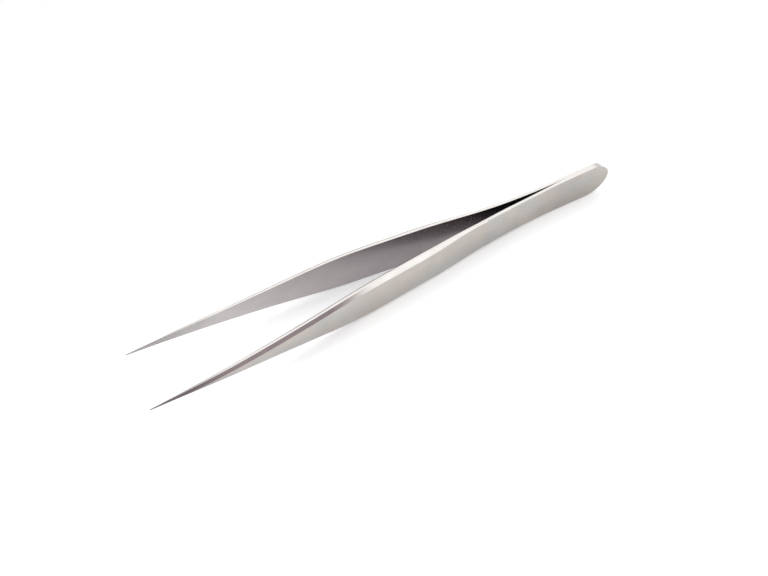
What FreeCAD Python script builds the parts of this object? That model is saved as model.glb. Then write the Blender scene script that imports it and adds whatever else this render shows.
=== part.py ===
# Fine-pointed watchmaker tweezers, lying on the lower edges of their two arms.
# Each arm is one length of ground steel: a thin spring leaf at the tail, a thicker grip,
# a shoulder, and a bevelled taper that runs out into a needle point. The two arms are the
# same piece, one turned over, and they are welded face to face at the tail.
# Frame: +X runs from the points to the tail and +Y from the left arm to the right arm.
# The origin is on the supporting surface, midway between the points and the tail end.
import FreeCAD, Part
import math
import os
import Sketcher

# Driving sizes, in millimetres and degrees. Lengths along an arm are measured along X,
# and each starts where the one before it ends, from the tail to the point.
SIZES = {
    "overall_length": 120.0,
    # Outline of an arm, seen from the side. A relief is how far each edge lies inside the
    # edge of the grip.
    "tail_end_radius": 3.4,
    "tail_side_radius": 6.5,
    "tail_relief": 0.4,
    "tail_to_waist": 25.0,
    "waist_relief": 0.8,
    "waist_to_grip": 25.0,
    "grip_width": 9.6,
    "flat_length": 10.0,
    "shoulder_length": 14.5,
    "taper_radius": 520.0,
    "tip_width": 0.26,
    # Inner face, seen from above
    "weld_length": 12.0,
    "splay_radius": 260.0,
    "splay_angle": 5.7,
    "splay_length": 54.0,
    "bend_radius": 500.0,
    "bend_length": 18.0,
    "bow_radius": 1100.0,
    # Outer face, seen from above
    "leaf_thickness": 0.75,
    "leaf_length": 26.0,
    "swell_length": 20.0,
    "grip_thickness": 1.3,
    "grind_angle": 0.4,
    "point_length": 22.0,
    "tip_thickness": 0.14,
    # Bevels along the two edges of the outer face
    "bevel_height": 0.92,
    "bevel_angle": 25.0,
}

# Height of the bevel where each run of the outer face ends, from the leaf to the point,
# as a share of its full height
BEVEL_SHARES = {
    "leaf": 0.30,
    "hollow": 0.60,
    "swell": 1.10,
    "grip": 1.10,
    "bend": 1.00,
    "bow": 0.95,
    "point": 0.75,
    "needle": 0.22,
}
# What a cut reaches past the steel, in millimetres and as a share of the bevel's size
CUT_ALLOWANCE = 2.0
BEVEL_ALLOWANCE = 0.3
# Places closer than this are one place
TOLERANCE = 1e-4

ORIGIN = (-1, 1)
X_AXIS = (-1,)
UP = FreeCAD.Vector(0, 0, 1)
TOWARDS_POINT = FreeCAD.Vector(-1, 0, 0)
# Turns a sketch so that it faces along the arm, with its own X along +Y and its Y along +Z
ACROSS_ARM = FreeCAD.Rotation(FreeCAD.Vector(1, 1, 1), 120)


class Run:
    """One line or arc of a sketch, with the numbers that its rules need."""

    def __init__(self, number, start=1, end=2):
        self.whole = (number,)
        self.start = (number, start)
        self.end = (number, end)
        self.centre = (number, 3)


class Trace:
    """Draws tangent lines and arcs in a sketch, one after another."""

    def __init__(self, sketch, start, heading):
        self.sketch = sketch
        self.point = start
        self.heading = heading
        self.last = None

    def add(self, curve, end, *order):
        run = Run(self.sketch.addGeometry(curve, False), *order)
        if self.last:
            rule(self.sketch, "Tangent", self.last.end, run.start)
        self.last = run
        self.point = end
        return run

    def line(self, end):
        return self.add(Part.LineSegment(self.point, end), end)

    def arc(self, end):
        """An arc that leaves along the heading and ends at the given place."""
        chord = end - self.point
        radius = chord.dot(chord) / (2 * chord.dot(self.left()))
        centre = self.point + self.left() * radius
        angles = [math.atan2(spot.y - centre.y, spot.x - centre.x) for spot in (self.point, end)]
        circle = Part.Circle(centre, UP, abs(radius))
        turn = 2 * math.atan2(self.heading.cross(chord).z, self.heading.dot(chord))
        self.heading = rotated(self.heading, turn)
        if radius > 0:
            return self.add(Part.ArcOfCircle(circle, angles[0], angles[1]), end)
        return self.add(Part.ArcOfCircle(circle, angles[1], angles[0]), end, 2, 1)

    def blend(self, end, heading):
        """Two arcs of one radius that bend opposite ways and end along the given heading."""
        reach = end - self.point
        side = math.copysign(1, reach.dot(self.left()))
        first_normal = self.left() * side
        last_normal = left_of(heading) * side
        # The centres lie two radii apart, one on each side of the path
        normals = first_normal + last_normal
        across = reach.dot(normals)
        excess = 4 - normals.dot(normals)
        radius = reach.dot(reach) / (across + math.sqrt(across ** 2 + excess * reach.dot(reach)))
        middle = (self.point + first_normal * radius + end - last_normal * radius) / 2
        first = self.arc(middle)
        second = self.arc(end)
        rule(self.sketch, "Equal", first.whole, second.whole)
        return first, second

    def left(self):
        return left_of(self.heading)

    def halfway(self, end):
        """The middle of an arc that leaves along the heading and ends at the given place."""
        chord = end - self.point
        quarter = math.atan2(self.heading.cross(chord).z, self.heading.dot(chord)) / 2
        return self.point + rotated(self.heading, quarter) * (chord.Length / (2 * math.cos(quarter)))

    def ahead(self, x):
        """The place straight ahead at the given X."""
        return self.point + self.heading * ((x - self.point.x) / self.heading.x)

    def turned_left(self, radius, angle):
        """The place where an arc to the left has turned by an angle."""
        centre = self.point + self.left() * radius
        return centre + rotated(self.point - centre, angle)

    def bent_right(self, radius, x):
        """The place at the given X on an arc to the right, for a trace that runs along -X."""
        centre = self.point - self.left() * radius
        return place(x, centre.y - math.sqrt(radius ** 2 - (x - centre.x) ** 2))


def rotated(vector, angle):
    return FreeCAD.Rotation(UP, math.degrees(angle)).multVec(vector)


def left_of(heading):
    return FreeCAD.Vector(-heading.y, heading.x, 0)


def place(x, y):
    return FreeCAD.Vector(x, y, 0)


def rule(sketch, kind, *items):
    """A rule with no size, such as Horizontal, Equal or Tangent."""
    sketch.addConstraint(Sketcher.Constraint(kind, *sum(items, ())))


def size(sketch, kind, items, formula):
    """A dimension that follows the sheet."""
    value = sketch.evalExpression(formula)
    if kind == "Angle":
        value = value.getValueAs("rad")
    number = sketch.addConstraint(Sketcher.Constraint(kind, *sum(items, ()), float(value)))
    sketch.setExpression("Constraints[%d]" % number, formula)


def size_along(sketch, axis, one, other, formula):
    """The distance along X or Y between two ends, whichever way round they lie."""
    ends = sorted((one, other), key=lambda end: getattr(sketch.getPoint(*end), axis.lower()))
    size(sketch, "Distance" + axis, ends, formula)


def join(sketch, one, other):
    """A straight line between two ends."""
    line = Part.LineSegment(sketch.getPoint(*one), sketch.getPoint(*other))
    run = Run(sketch.addGeometry(line, False))
    rule(sketch, "Coincident", one, run.start)
    rule(sketch, "Coincident", other, run.end)
    return run


def make_sheet(doc):
    sheet = doc.addObject("Spreadsheet::Sheet", "Sizes")
    for row, (name, value) in enumerate(SIZES.items(), start=1):
        sheet.set("A%d" % row, name)
        sheet.set("B%d" % row, str(value))
        sheet.setAlias("B%d" % row, name)
    doc.recompute()
    return sheet


def origin_plane(body, role):
    return [item for item in body.Origin.OriginFeatures if item.Role == role][0]


def new_sketch(body, name, support, mode):
    sketch = body.newObject("Sketcher::SketchObject", body.Name + "_" + name)
    sketch.AttachmentSupport = support
    sketch.MapMode = mode
    return sketch


def draw_inner_face(sketch, sheet, tail_x, weld_x, bend_x, bow_x):
    """From the tail: flat where the arms are welded, splayed, then bent back and bowed."""
    trace = Trace(sketch, place(tail_x, 0), TOWARDS_POINT)
    runs = {"weld": trace.line(trace.ahead(weld_x))}
    splay = math.radians(sheet.splay_angle)
    runs["splay"] = trace.arc(trace.turned_left(sheet.splay_radius, splay))
    runs["splayed"] = trace.line(trace.ahead(bend_x))
    runs["bend"] = trace.arc(trace.bent_right(sheet.bend_radius, bow_x))
    runs["bow"] = trace.arc(trace.bent_right(sheet.bow_radius, -tail_x))

    weld, splayed, bend, bow = [runs[name] for name in ("weld", "splayed", "bend", "bow")]
    rule(sketch, "PointOnObject", weld.start, X_AXIS)
    rule(sketch, "Horizontal", weld.whole)
    size_along(sketch, "X", ORIGIN, weld.start, "Sizes.overall_length / 2")
    size_along(sketch, "X", weld.end, weld.start, "Sizes.weld_length")
    size(sketch, "Radius", (runs["splay"].whole,), "Sizes.splay_radius")
    size(sketch, "Angle", (weld.whole, splayed.whole), "Sizes.splay_angle * 1deg")
    size_along(sketch, "X", splayed.end, weld.end, "Sizes.splay_length")
    size(sketch, "Radius", (bend.whole,), "Sizes.bend_radius")
    size_along(sketch, "X", bend.end, bend.start, "Sizes.bend_length")
    size(sketch, "Radius", (bow.whole,), "Sizes.bow_radius")
    size_along(sketch, "X", bow.end, ORIGIN, "Sizes.overall_length / 2")
    return runs


def draw_outer_face(sketch, sheet, inner, tail_x, weld_x, bend_x, bow_x):
    """From the tail: a leaf of even thickness, a swell up to the grip, then bends that follow
    the inner face, and a point ground down to the tip."""
    leaf_x = weld_x - sheet.leaf_length
    grip_x = leaf_x - sheet.swell_length
    splay = math.radians(sheet.splay_angle)
    ground = splay - math.radians(sheet.grind_angle)
    trace = Trace(sketch, place(tail_x, -sheet.leaf_thickness), TOWARDS_POINT)
    runs = {"weld": trace.line(trace.ahead(weld_x))}
    outer_radius = sheet.splay_radius - sheet.leaf_thickness
    runs["splay"] = trace.arc(trace.turned_left(outer_radius, splay))
    runs["leaf"] = trace.line(trace.ahead(leaf_x))
    under_leaf = sketch.getPoint(*inner["splayed"].start)
    under_grip = under_leaf.y - (under_leaf.x - grip_x) * math.tan(splay)
    grip_start = place(grip_x, under_grip - sheet.grip_thickness / math.cos(splay))
    runs["hollow"], runs["swell"] = trace.blend(grip_start, rotated(TOWARDS_POINT, ground))
    runs["grip"] = trace.line(trace.ahead(bend_x))
    runs["bend"] = trace.arc(trace.bent_right(sheet.bend_radius, bow_x))
    runs["bow"] = trace.arc(trace.bent_right(sheet.bow_radius, -tail_x + sheet.point_length))
    outer_tip = sketch.getPoint(*inner["bow"].end) - place(0, sheet.tip_thickness)
    runs["point"] = trace.arc(trace.halfway(outer_tip))
    runs["needle"] = trace.arc(outer_tip)

    weld, leaf, grip = runs["weld"], runs["leaf"], runs["grip"]
    rule(sketch, "Horizontal", weld.whole)
    rule(sketch, "Vertical", weld.end, inner["weld"].end)
    size(sketch, "Radius", (runs["splay"].whole,), "Sizes.splay_radius - Sizes.leaf_thickness")
    rule(sketch, "Parallel", leaf.whole, inner["splayed"].whole)
    size_along(sketch, "X", leaf.end, weld.end, "Sizes.leaf_length")
    size_along(sketch, "X", grip.start, leaf.end, "Sizes.swell_length")
    size(sketch, "Distance", (grip.start, inner["splayed"].whole), "Sizes.grip_thickness")
    size(sketch, "Angle", (grip.whole, inner["splayed"].whole), "Sizes.grind_angle * 1deg")
    rule(sketch, "Vertical", grip.end, inner["splayed"].end)
    rule(sketch, "Equal", runs["bend"].whole, inner["bend"].whole)
    rule(sketch, "Vertical", runs["bend"].end, inner["bend"].end)
    rule(sketch, "Equal", runs["bow"].whole, inner["bow"].whole)
    size_along(sketch, "X", inner["bow"].end, runs["bow"].end, "Sizes.point_length")
    rule(sketch, "Equal", runs["point"].whole, runs["needle"].whole)
    size_along(sketch, "X", inner["bow"].end, runs["point"].end, "Sizes.point_length / 2")
    return runs


def draw_plan(body, sheet):
    """The arm seen from above. The inner face starts on the X axis at the tail and splays
    towards -Y, and the outer face lies beyond it."""
    sketch = new_sketch(body, "plan", (origin_plane(body, "XY_Plane"), [""]), "FlatFace")
    tail_x = sheet.overall_length / 2
    weld_x = tail_x - sheet.weld_length
    bend_x = weld_x - sheet.splay_length
    stations = (tail_x, weld_x, bend_x, bend_x - sheet.bend_length)
    inner = draw_inner_face(sketch, sheet, *stations)
    outer = draw_outer_face(sketch, sheet, inner, *stations)
    tail = join(sketch, inner["weld"].start, outer["weld"].start)
    rule(sketch, "Vertical", tail.whole)
    size_along(sketch, "Y", tail.end, tail.start, "Sizes.leaf_thickness")
    tip = join(sketch, inner["bow"].end, outer["needle"].end)
    rule(sketch, "Vertical", tip.whole)
    size_along(sketch, "Y", tip.end, tip.start, "Sizes.tip_thickness")
    return sketch, outer


def draw_outline(body, sheet):
    """What is cut away above the arm, seen from the side: the profile follows the upper
    edge from the middle of the tail's end to the tip, and closes above the blank."""
    sketch = new_sketch(body, "outline", (origin_plane(body, "XZ_Plane"), [""]), "FlatFace")
    tail_x = sheet.overall_length / 2
    end_radius, side_radius = sheet.tail_end_radius, sheet.tail_side_radius
    grip_height = sheet.grip_width / 2
    tail_height = grip_height - sheet.tail_relief
    # The side arc's centre lies below the axis, and the end arc rounds off its end
    below = side_radius - tail_height
    side_x = tail_x - end_radius - math.sqrt((side_radius - end_radius) ** 2 - below ** 2)
    end_centre, side_centre = place(tail_x - end_radius, 0), place(side_x, -below)
    outwards = (end_centre - side_centre).normalize()
    waist_x = side_x - sheet.tail_to_waist
    flat_x = waist_x - sheet.waist_to_grip
    shoulder_x = flat_x - sheet.flat_length
    taper_x = shoulder_x - sheet.shoulder_length
    # Slope where the shoulder meets the taper, near enough for the rules to settle it
    taper_length = taper_x + tail_x
    drop = grip_height - sheet.tip_width / 2 + taper_length ** 2 / (2 * sheet.taper_radius)
    slope = drop / (sheet.shoulder_length / 2 + taper_length)

    trace = Trace(sketch, place(tail_x, 0), place(0, 1))
    end = trace.arc(end_centre + outwards * end_radius)
    side = trace.arc(place(side_x, tail_height))
    trace.blend(place(waist_x, grip_height - sheet.waist_relief), TOWARDS_POINT)
    waist = trace.last
    trace.blend(place(flat_x, grip_height), TOWARDS_POINT)
    flat = trace.line(place(shoulder_x, grip_height))
    shoulder = trace.arc(place(taper_x, grip_height - slope * sheet.shoulder_length / 2))
    taper = trace.arc(place(-tail_x, sheet.tip_width / 2))

    rule(sketch, "PointOnObject", end.start, X_AXIS)
    rule(sketch, "PointOnObject", end.centre, X_AXIS)
    size_along(sketch, "X", ORIGIN, end.start, "Sizes.overall_length / 2")
    size(sketch, "Radius", (end.whole,), "Sizes.tail_end_radius")
    size(sketch, "Radius", (side.whole,), "Sizes.tail_side_radius")
    size_along(sketch, "Y", ORIGIN, side.end, "Sizes.grip_width / 2 - Sizes.tail_relief")
    rule(sketch, "Vertical", side.centre, side.end)
    size_along(sketch, "X", side.end, waist.end, "Sizes.tail_to_waist")
    size_along(sketch, "Y", ORIGIN, waist.end, "Sizes.grip_width / 2 - Sizes.waist_relief")
    rule(sketch, "Vertical", waist.centre, waist.end)
    size_along(sketch, "X", waist.end, flat.start, "Sizes.waist_to_grip")
    size_along(sketch, "Y", ORIGIN, flat.start, "Sizes.grip_width / 2")
    rule(sketch, "Horizontal", flat.whole)
    size_along(sketch, "X", flat.end, flat.start, "Sizes.flat_length")
    size_along(sketch, "X", shoulder.end, shoulder.start, "Sizes.shoulder_length")
    size(sketch, "Radius", (taper.whole,), "Sizes.taper_radius")
    size_along(sketch, "X", taper.end, ORIGIN, "Sizes.overall_length / 2")
    size_along(sketch, "Y", ORIGIN, taper.end, "Sizes.tip_width / 2")
    close_above(sketch, sheet, end, taper)
    return sketch


def close_above(sketch, sheet, end, taper):
    """Carries the profile out past both ends of the blank and over its top."""
    beyond = sheet.overall_length / 2 + CUT_ALLOWANCE
    top = sheet.grip_width / 2 + 2 * CUT_ALLOWANCE
    corners = [(-beyond, sheet.tip_width / 2), (-beyond, top), (beyond, top), (beyond, 0)]
    lines = []
    last = taper.end
    for corner in [place(*corner) for corner in corners] + [sketch.getPoint(*end.start)]:
        line = Run(sketch.addGeometry(Part.LineSegment(sketch.getPoint(*last), corner), False))
        rule(sketch, "Coincident", last, line.start)
        lines.append(line)
        last = line.end
    rule(sketch, "Coincident", last, end.start)
    for line, kind in zip(lines, ("Horizontal", "Vertical", "Horizontal", "Vertical", "Horizontal")):
        rule(sketch, kind, line.whole)
    size_along(sketch, "X", lines[0].end, lines[0].start, "%s" % CUT_ALLOWANCE)
    size_along(sketch, "X", lines[4].end, lines[4].start, "%s" % CUT_ALLOWANCE)
    size_along(sketch, "Y", ORIGIN, lines[1].end, "Sizes.grip_width / 2 + %s" % (2 * CUT_ALLOWANCE))


def draw_bevel_section(body, blank, corner, name, share):
    """The triangle that the bevel's cut has at one corner of the blank. The sketch's origin
    is the corner, its X axis points into the arm and its Y axis up."""
    sketch = new_sketch(body, "bevel_" + name, [(blank, corner)], "Translate")
    sketch.Placement = FreeCAD.Placement(sketch.Placement.Base, ACROSS_ARM)
    height = "Sizes.bevel_height * %s" % share
    depth = height + " * tan(Sizes.bevel_angle * 1deg)"
    tall, deep = [float(sketch.evalExpression(formula)) for formula in (height, depth)]
    past = BEVEL_ALLOWANCE
    outside = place(-deep * past, tall * past)
    inside = place(deep * (1 + past), tall * past)
    below = place(-deep * past, -tall * (1 + past))
    top = Run(sketch.addGeometry(Part.LineSegment(outside, inside), False))
    slope = Run(sketch.addGeometry(Part.LineSegment(inside, below), False))
    side = Run(sketch.addGeometry(Part.LineSegment(below, outside), False))
    for one, other in ((top, slope), (slope, side), (side, top)):
        rule(sketch, "Coincident", one.end, other.start)
    rule(sketch, "Horizontal", top.whole)
    rule(sketch, "Vertical", side.whole)
    size_along(sketch, "X", top.start, ORIGIN, "%s * %s" % (depth, past))
    size_along(sketch, "Y", ORIGIN, top.start, "%s * %s" % (height, past))
    size_along(sketch, "X", top.start, top.end, "%s * %s" % (depth, 1 + 2 * past))
    size_along(sketch, "Y", side.start, side.end, "%s * %s" % (height, 1 + 2 * past))
    return sketch


def upper_corner(blank, spot):
    """The blank's highest corner over a place in the plan."""
    names = ["Vertex%d" % number for number in range(1, len(blank.Shape.Vertexes) + 1)]
    over = [
        (vertex.Point.z, name)
        for vertex, name in zip(blank.Shape.Vertexes, names)
        if (place(vertex.Point.x, vertex.Point.y) - spot).Length < TOLERANCE
    ]
    return max(over)[1]


def upper_edges(blank, curves):
    """The blank's upper edges over some curves of the plan, from the tail to the point."""
    found = []
    for number, edge in enumerate(blank.Shape.Edges, start=1):
        middle = edge.valueAt((edge.FirstParameter + edge.LastParameter) / 2)
        shadow = Part.Vertex(place(middle.x, middle.y))
        runs_along = edge.BoundBox.XLength > TOLERANCE
        over = any(curve.distToShape(shadow)[0] < TOLERANCE for curve in curves)
        if middle.z > 0 and runs_along and over:
            found.append((-middle.x, "Edge%d" % number))
    return [name for position, name in sorted(found)]


def cut_bevel(body, blank, plan, outer):
    """The bevel along the upper edge of the outer face: it starts where the leaf swells into
    the grip, and fades out at the tip."""
    sections = []
    for name, share in BEVEL_SHARES.items():
        corner = upper_corner(blank, plan.getPoint(*outer[name].end))
        sections.append(draw_bevel_section(body, blank, corner, name, share))
    bevelled = [outer[name].whole[0] for name in list(BEVEL_SHARES)[1:]]
    curves = [plan.Geometry[number].toShape() for number in bevelled]
    bevel = body.newObject("PartDesign::SubtractivePipe", body.Name + "_bevel")
    bevel.Profile = sections[0]
    bevel.Sections = sections[1:]
    bevel.Spine = (blank, upper_edges(blank, curves))
    bevel.Mode = "Fixed"
    bevel.Transformation = "Multisection"
    bevel.Refine = False
    return bevel


def make_arm(doc, sheet, label, turn):
    """One arm. Its own frame has the arm's middle line in the XY plane."""
    body = doc.addObject("PartDesign::Body", label)
    body.Label = label
    plan, outer = draw_plan(body, sheet)
    strip = body.newObject("PartDesign::Pad", label + "_strip")
    strip.Profile = plan
    strip.Midplane = True
    strip.Refine = False
    strip.setExpression("Length", "Sizes.grip_width + %s" % (2 * CUT_ALLOWANCE))
    blank = body.newObject("PartDesign::Pocket", label + "_blank")
    blank.Profile = draw_outline(body, sheet)
    blank.Type = "ThroughAll"
    blank.Midplane = True
    blank.Refine = False
    doc.recompute()
    bevel = cut_bevel(body, blank, plan, outer)
    lower_half = body.newObject("PartDesign::Mirrored", label + "_lower_half")
    lower_half.Originals = [blank, bevel]
    lower_half.MirrorPlane = (origin_plane(body, "XY_Plane"), [""])
    body.Tip = lower_half
    body.Placement = FreeCAD.Placement(FreeCAD.Vector(), FreeCAD.Rotation(FreeCAD.Vector(1, 0, 0), turn))
    body.setExpression("Placement.Base.z", "Sizes.grip_width / 2")
    doc.recompute()
    return body


def check(doc, bodies):
    for item in doc.Objects:
        if "Invalid" in item.State or "Error" in item.State:
            raise RuntimeError("%s failed: %s" % (item.Label, item.State))
    for body in bodies:
        if body.Shape.isNull() or not body.Shape.isValid():
            raise RuntimeError("%s has no valid shape" % body.Label)


def main():
    doc = FreeCAD.newDocument("watchmaker_tweezers")
    sheet = make_sheet(doc)
    bodies = [make_arm(doc, sheet, "left_arm", 0), make_arm(doc, sheet, "right_arm", 180)]
    check(doc, bodies)
    os.makedirs("parts", exist_ok=True)
    for body in bodies:
        body.Shape.exportStep("parts/%s.step" % body.Label)
        print(body.Label, "volume", round(body.Shape.Volume, 1), "mm3", len(body.Shape.Faces), "faces")


main()
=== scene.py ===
"""Fine-pointed tweezers of satin steel, lying on a pale table under soft studio light."""

import math

import bpy
from mathutils import Matrix, Vector

# Colours, as linear red, green and blue
OUTER_COLOUR = (0.52, 0.48, 0.446)
OUTER_COOL_COLOUR = (0.49, 0.48, 0.465)
# Inner faces: shade painted between the arms, deepest by the weld and lighter towards the points
INNER_PAINTED_SHADE_COLOUR = (0.39, 0.355, 0.365)
INNER_POINT_COLOUR = (0.56, 0.53, 0.53)
GROUND_COLOUR = (0.66, 0.635, 0.61)
# Bevels by the points: a painted dark reflection, on top of the dark wall that they really mirror
POINT_BEVEL_PAINTED_REFLECTION_COLOUR = (0.30, 0.245, 0.255)
FLOOR_COLOUR = (0.93, 0.93, 0.93)
OVERHEAD_COLOUR = (1.0, 1.0, 1.0)
WALL_COLOUR = (0.30, 0.29, 0.30)
DARK_COLOUR = (0.13, 0.10, 0.105)
WINDOW_COLOUR = (2.3, 2.3, 2.3)
BACKDROP_COLOUR = (0.9, 0.9, 0.9)

# Share of its colour that the steel keeps where shade is painted into it, and how far clouds change
# it
WHOLE = (1.0, 1.0, 1.0)
NEEDLE_SHADE = (0.54, 0.54, 0.54)
INNER_NEEDLE_SHADE = (0.67, 0.67, 0.67)
TAIL_SHADE = (0.86, 0.86, 0.86)
FOOT_SHADE = (0.88, 0.88, 0.88)
INNER_TOP_SHADE = (0.80, 0.80, 0.80)
CLOUD_SPREAD = 0.22
CLOUD_LEAST = 0.89

# Noise in the steel: turns per millimetre along, across and up, then detail
CLOUDS = (0.24, 0.24, 0.32), 4.0
PATCHES = (0.13, 0.13, 0.20), 2.0
GRAIN = (1.5, 9.0, 5.2), 3.0
STROKES = (0.3, 16.0, 16.0), 2.0
PATCH_EDGE = (0.38, 0.62)

# Roughness: what the noise adds, and the least
SATIN_ROUGHNESS = (0.08, 0.22)
GROUND_ROUGHNESS = (0.10, 0.13)
GRAIN_STRENGTH = 0.05
GRAIN_DEPTH = 0.00002

# Radius to which edges are broken, in metres: all of them, and the upper and lower ones
EDGE_BREAK = 0.00008
TOP_EDGE_ROUNDING = 0.00042
EDGE_SAMPLES = 8

# Facets told apart by the cosine of the way they face, from none to full
GROUND_FACING = (0.10, 0.20)
LEVEL_FACING = (0.70, 0.85)
INNER_FACING = (0.3, 0.6)

# Where each painted shade and painted reflection, and the stronger rounding of edges, fade in, from
# none to full, in millimetres along X, upwards or from the middle
INNER_POINT_FADE = (6, -44)
POINT_BEVEL_FADE = (-11, -21)
NEEDLE_FADE = (-38, -56)
TAIL_FADE = (28, 48)
FOOT_TO_TOP = (0.5, 8.5)
ROUNDED_FROM_POINT = (-50, -25)
ROUNDED_FROM_TAIL = (26, 4)
GAP_ROUNDED_FROM_TAIL = (46, 36)
GAP_SIDE = (0.8, 0.5)

# Camera as the photograph was taken: place in metres, and its right and up directions
CAMERA_PLACE = Vector((-0.05925, -0.09054, 0.12460))
CAMERA_RIGHT = Vector((0.85734, -0.51472, 0.00450))
CAMERA_UP = Vector((0.39070, 0.65641, 0.64535))
CAMERA_LENS = 34.18

# The room's walls, by turn from +X towards +Y and by height above the horizon, in degrees
DARK_WALL = (-172, -69)
WINDOW = (-67, -38)
BACKDROP = (-5, 40)
WALL_TOP = (22, 36)
WALL_SOFTNESS = 2

# Table: its size, how far it lies under the tweezers, and its glow in the picture
TABLE_SIZE = (0.44, 0.30)
TABLE_DROP = 0.00002
FLOOR_GLOW = 0.22

# Lamps: name, place, what they point at, width, height and watts
LAMPS = (
    ("overhead", (0.45, 0.26, 0.62), (0.35, 0, 0), 1.6, 0.9, 1.78),
    ("fill", (-0.44, 0.08, 0.23), (0, 0, 0), 0.3, 0.3, 0.7),
)


class Shader:
    """Adds nodes to a material or world and links them in one call each."""

    def __init__(self, tree):
        self.tree = tree
        self.tree.nodes.clear()

    def set(self, socket, value):
        if isinstance(value, bpy.types.NodeSocket):
            self.tree.links.new(value, socket)
        else:
            socket.default_value = value

    def add(self, kind, inputs=(), **settings):
        node = self.tree.nodes.new(kind)
        for name, value in settings.items():
            setattr(node, name, value)
        for name, value in dict(inputs).items():
            self.set(node.inputs[name], value)
        return node

    def math(self, operation, *values):
        node = self.add("ShaderNodeMath", operation=operation)
        for socket, value in zip(node.inputs, values):
            self.set(socket, value)
        return node.outputs[0]

    def vector(self, operation, *values):
        node = self.add("ShaderNodeVectorMath", operation=operation)
        for socket, value in zip(node.inputs, values):
            self.set(socket, value)
        return node.outputs["Value" if operation == "DOT_PRODUCT" else "Vector"]

    def step(self, value, start, end):
        """0 where the value is at start or beyond it, 1 at end, and smooth between them."""
        inputs = {"Value": value, "From Min": start, "From Max": end}
        return self.add("ShaderNodeMapRange", inputs, interpolation_type="SMOOTHSTEP").outputs[0]

    def scale(self, vector, factor):
        node = self.add("ShaderNodeVectorMath", operation="SCALE")
        self.set(node.inputs[0], vector)
        self.set(node.inputs["Scale"], factor)
        return node.outputs["Vector"]

    def mix(self, share, first, second):
        """Colour first where the share is 0, second where it is 1."""
        node = self.add("ShaderNodeMix", data_type="RGBA")
        for place, value in ((0, share), (6, first), (7, second)):
            self.set(node.inputs[place], (*value, 1) if isinstance(value, tuple) else value)
        return node.outputs[2]

    def blend(self, share, first, second):
        """Shader first where the share is 0, second where it is 1."""
        node = self.add("ShaderNodeMixShader", {"Fac": share})
        self.set(node.inputs[1], first.outputs[0])
        self.set(node.inputs[2], second.outputs[0])
        return node

    def noise(self, place, stretch, detail):
        spread = self.vector("MULTIPLY", place, stretch)
        inputs = {"Vector": spread, "Scale": 1.0, "Detail": detail}
        return self.add("ShaderNodeTexNoise", inputs).outputs["Fac"]


def new_material(name):
    material = bpy.data.materials.new(name)
    material.use_nodes = True
    return material, Shader(material.node_tree)


def facets(shader, facing, y):
    """What each facet is, by the way it faces: ground, level among those, or inner."""
    upright = shader.math("ABSOLUTE", shader.vector("DOT_PRODUCT", facing, (0, 0, 1)))
    backwards = shader.vector("DOT_PRODUCT", facing, (0, -1, 0))
    inward = shader.math("MULTIPLY", shader.math("SIGN", y), backwards)
    ground = shader.step(upright, *GROUND_FACING)
    level = shader.step(upright, *LEVEL_FACING)
    return ground, level, shader.step(inward, *INNER_FACING)


def steel_colour(shader, place, x, z, ground, level, inner):
    """Warm and cool patches, with painted shade: darker between the arms, a painted dark reflection
    on the bevels by the points, and darker at the ends, at the foot of the outer faces and at the top
    of the inner ones.
    """
    patches = shader.step(shader.noise(place, *PATCHES), *PATCH_EDGE)
    outer_colour = shader.mix(patches, OUTER_COLOUR, OUTER_COOL_COLOUR)
    # Painted shade on the outer faces towards the tail
    tail_shade = shader.mix(shader.step(x, *TAIL_FADE), WHOLE, TAIL_SHADE)
    outer_colour = shader.vector("MULTIPLY", outer_colour, tail_shade)
    # Shade painted on the inner faces between the arms, fading towards the points
    inner_painted_shade_colour = shader.mix(shader.step(x, *INNER_POINT_FADE), INNER_PAINTED_SHADE_COLOUR, INNER_POINT_COLOUR)
    # Painted dark reflection on the bevels towards the points
    bevel_colour_with_painted_reflection = shader.mix(shader.step(x, *POINT_BEVEL_FADE), GROUND_COLOUR, POINT_BEVEL_PAINTED_REFLECTION_COLOUR)
    colour = shader.mix(inner, outer_colour, inner_painted_shade_colour)
    colour = shader.mix(ground, colour, shader.mix(level, bevel_colour_with_painted_reflection, GROUND_COLOUR))

    # Painted shade: outer faces darker at the foot, inner faces darker at the top, and all faces
    # darker towards the points
    top_shade = shader.mix(inner, WHOLE, INNER_TOP_SHADE)
    foot_shade = shader.mix(inner, FOOT_SHADE, WHOLE)
    upwards = shader.mix(shader.step(z, *FOOT_TO_TOP), foot_shade, top_shade)
    needle_shade = shader.mix(inner, NEEDLE_SHADE, INNER_NEEDLE_SHADE)
    needle = shader.mix(shader.step(x, *NEEDLE_FADE), WHOLE, needle_shade)
    shaded = shader.vector("MULTIPLY", shader.vector("MULTIPLY", colour, upwards), needle)
    clouds = shader.noise(place, *CLOUDS)
    return shader.scale(shaded, shader.math("MULTIPLY_ADD", clouds, CLOUD_SPREAD, CLOUD_LEAST))


def steel_roughness(shader, place, grain, ground):
    """Rougher on the satin faces, and polished in long strokes on the ground ones."""
    strokes = shader.noise(place, *STROKES)
    satin = shader.math("MULTIPLY_ADD", grain, *SATIN_ROUGHNESS)
    polished = shader.math("MULTIPLY_ADD", strokes, *GROUND_ROUGHNESS)
    mixed = shader.add("ShaderNodeMix", data_type="FLOAT")
    for socket, value in zip((0, 2, 3), (ground, satin, polished)):
        shader.set(mixed.inputs[socket], value)
    return mixed.outputs[0]


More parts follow.
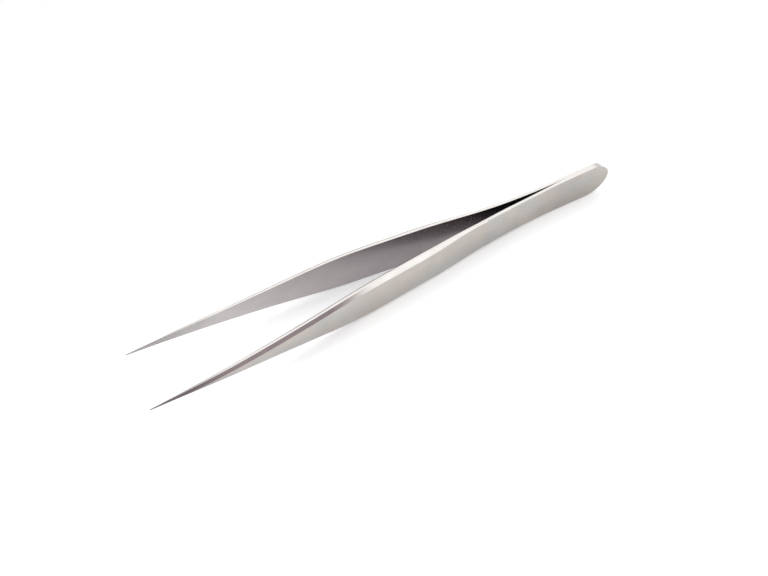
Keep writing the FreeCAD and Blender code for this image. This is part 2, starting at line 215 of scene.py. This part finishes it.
def broken_edges(shader, x, y, level):
    """All edges are broken a little. The upper and lower ones are rounded more, except at the
    points, and towards the weld only along the gap between the arms."""
    beside_gap = shader.step(shader.math("ABSOLUTE", y), *GAP_SIDE)
    gap = shader.math("MULTIPLY", shader.step(x, *GAP_ROUNDED_FROM_TAIL), beside_gap)
    free = shader.math("MAXIMUM", shader.step(x, *ROUNDED_FROM_TAIL), gap)
    free = shader.math("MULTIPLY", shader.step(x, *ROUNDED_FROM_POINT), free)
    wider = shader.math("MULTIPLY_ADD", free, TOP_EDGE_ROUNDING, -EDGE_BREAK)
    radius = shader.math("MULTIPLY_ADD", level, wider, EDGE_BREAK)
    return shader.add("ShaderNodeBevel", {"Radius": radius}, samples=EDGE_SAMPLES).outputs[0]


def steel():
    """Satin flats, finely ground edges and bevels, and shade painted into the colour between the
    arms.
    """
    material, shader = new_material("satin_steel")
    surface = shader.add("ShaderNodeTexCoord")
    place = shader.scale(surface.outputs["Object"], 1000)
    split = shader.add("ShaderNodeSeparateXYZ", {"Vector": place})
    x, y, z = [split.outputs[axis] for axis in "XYZ"]
    ground, level, inner = facets(shader, surface.outputs["Normal"], y)
    grain = shader.noise(place, *GRAIN)
    bump = shader.add("ShaderNodeBump", {
        "Height": grain,
        "Strength": GRAIN_STRENGTH,
        "Distance": GRAIN_DEPTH,
        "Normal": broken_edges(shader, x, y, level),
    })
    metal = shader.add("ShaderNodeBsdfPrincipled", {
        "Base Color": steel_colour(shader, place, x, z, ground, level, inner),
        "Metallic": 1.0,
        "Roughness": steel_roughness(shader, place, grain, ground),
        "Normal": bump.outputs[0],
    })
    shader.add("ShaderNodeOutputMaterial", {"Surface": metal.outputs[0]})
    return material


def finish_arms(nodes, material):
    for arm in nodes.values():
        arm.data.materials.clear()
        arm.data.materials.append(material)


def seen_directly(shader):
    """1 for what the camera sees, straight or mirrored in the steel, and 0 for light on surfaces."""
    rays = shader.add("ShaderNodeLightPath")
    seen = shader.math("MAXIMUM", rays.outputs["Is Camera Ray"], rays.outputs["Is Glossy Ray"])
    return shader.math("MAXIMUM", seen, rays.outputs["Is Transmission Ray"])


def floor():
    """A white table: its glow only lifts it to white in the picture and lights nothing."""
    bpy.ops.mesh.primitive_plane_add(size=1, location=(0, 0, -TABLE_DROP))
    plane = bpy.context.object
    plane.name = "table"
    plane.scale = (*TABLE_SIZE, 1)
    material, shader = new_material("white_table")
    matt = shader.add("ShaderNodeBsdfDiffuse", {"Color": (*FLOOR_COLOUR, 1)})
    strength = shader.math("MULTIPLY", seen_directly(shader), FLOOR_GLOW)
    glow = shader.add("ShaderNodeEmission", {"Strength": strength})
    both = shader.add("ShaderNodeAddShader")
    shader.set(both.inputs[0], matt.outputs[0])
    shader.set(both.inputs[1], glow.outputs[0])
    shader.add("ShaderNodeOutputMaterial", {"Surface": both.outputs[0]})
    plane.data.materials.append(material)


def soft_light(name, place, target, width, height, power):
    lamp = bpy.data.lights.new(name, "AREA")
    lamp.shape = "RECTANGLE"
    lamp.size = width
    lamp.size_y = height
    lamp.energy = power
    lamp_object = bpy.data.objects.new(name, lamp)
    lamp_object.location = place
    direction = Vector(target) - Vector(place)
    lamp_object.rotation_euler = direction.to_track_quat("-Z", "Y").to_euler()
    bpy.context.scene.collection.objects.link(lamp_object)


def room():
    """A pale room, bright overhead, with a window and a dark wall that the steel mirrors."""
    world = bpy.data.worlds.new("studio")
    world.use_nodes = True
    shader = Shader(world.node_tree)
    direction = shader.add("ShaderNodeTexCoord").outputs["Generated"]
    level = shader.vector("NORMALIZE", shader.vector("MULTIPLY", direction, (1, 1, 0)))
    height = shader.vector("DOT_PRODUCT", direction, (0, 0, 1))
    low, high = [math.sin(math.radians(angle)) for angle in WALL_TOP]
    colour = WALL_COLOUR
    soft = math.radians(WALL_SOFTNESS)
    walls = (DARK_WALL, DARK_COLOUR), (WINDOW, WINDOW_COLOUR), (BACKDROP, BACKDROP_COLOUR)
    for (start, end), wall in walls:
        middle, half = math.radians((start + end) / 2), math.radians((end - start) / 2)
        towards = shader.vector("DOT_PRODUCT", level, (math.cos(middle), math.sin(middle), 0))
        inside = shader.step(towards, math.cos(half + soft), math.cos(half - soft))
        colour = shader.mix(inside, colour, wall)
    colour = shader.mix(shader.step(height, low, high), colour, OVERHEAD_COLOUR)
    around = shader.add("ShaderNodeBackground", {"Color": colour})
    white = shader.add("ShaderNodeBackground", {"Color": (1, 1, 1, 1)})
    rays = shader.add("ShaderNodeLightPath").outputs["Is Camera Ray"]
    shader.add("ShaderNodeOutputWorld", {"Surface": shader.blend(rays, around, white).outputs[0]})
    bpy.context.scene.world = world


def camera():
    data = bpy.data.cameras.new("camera")
    data.lens = CAMERA_LENS
    data.sensor_width = 36
    data.clip_start = 0.001
    view = bpy.data.objects.new("camera", data)
    back = CAMERA_RIGHT.cross(CAMERA_UP)
    turn = Matrix((CAMERA_RIGHT, CAMERA_UP, back)).transposed()
    view.matrix_world = Matrix.Translation(CAMERA_PLACE) @ turn.to_4x4()
    bpy.context.scene.collection.objects.link(view)
    bpy.context.scene.camera = view


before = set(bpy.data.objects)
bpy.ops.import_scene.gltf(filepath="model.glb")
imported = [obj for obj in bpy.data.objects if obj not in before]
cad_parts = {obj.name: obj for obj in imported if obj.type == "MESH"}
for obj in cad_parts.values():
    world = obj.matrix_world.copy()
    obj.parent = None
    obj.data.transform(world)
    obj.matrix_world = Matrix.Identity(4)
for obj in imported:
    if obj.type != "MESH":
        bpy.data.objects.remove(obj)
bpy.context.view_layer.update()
finish_arms(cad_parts, steel())
floor()
for lamp in LAMPS:
    soft_light(*lamp)
room()
camera()
bpy.context.scene.view_settings.view_transform = "Standard"
